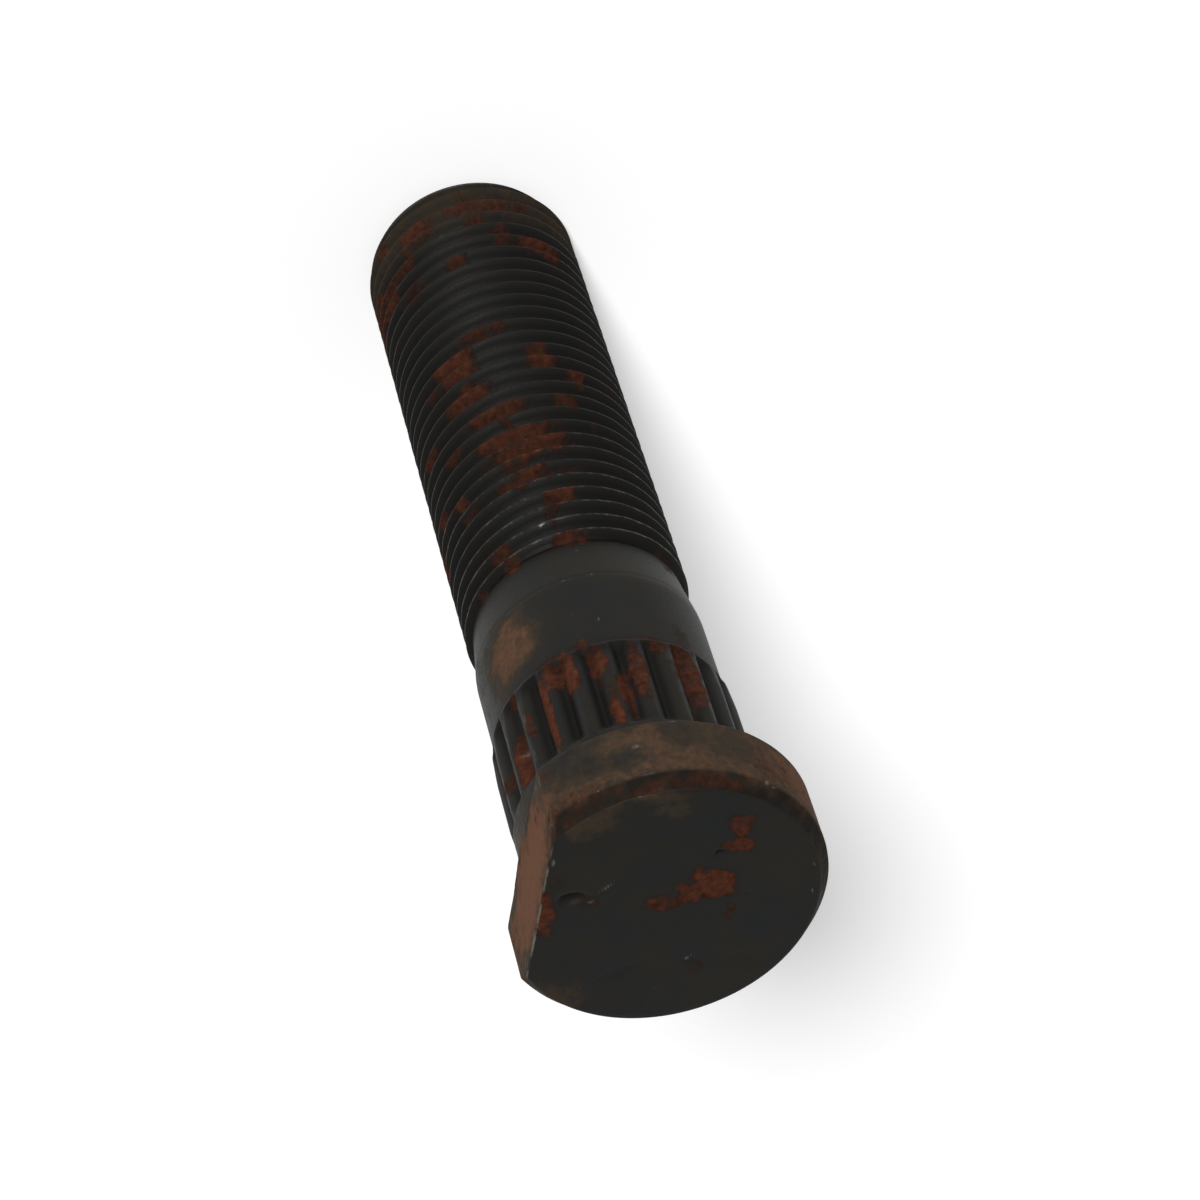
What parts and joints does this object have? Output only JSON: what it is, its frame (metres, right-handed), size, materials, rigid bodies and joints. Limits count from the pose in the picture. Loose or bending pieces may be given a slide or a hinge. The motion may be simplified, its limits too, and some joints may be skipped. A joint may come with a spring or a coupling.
{
  "type": "wheel stud",
  "caption": "Headed press-in wheel stud with a locating flat on its round head, a ribbed press-fit length, a smooth shoulder, a conical neck and a long fine-pitch thread.",
  "frame": {"origin": "centre of the flat end face at the threaded end, on the stud's axis", "axes": "+Z along the stud's axis from the threaded end to the head; +X out of the locating flat on the head's side"},
  "size_m": [0.0194, 0.022, 0.0708],
  "materials": {
    "phosphated_steel": "dark phosphated steel, satin, with patches of dull red-brown rust"
  },
  "bodies": {
    "root": {"wheel_stud": "phosphated_steel"}
  },
  "joints": []
}
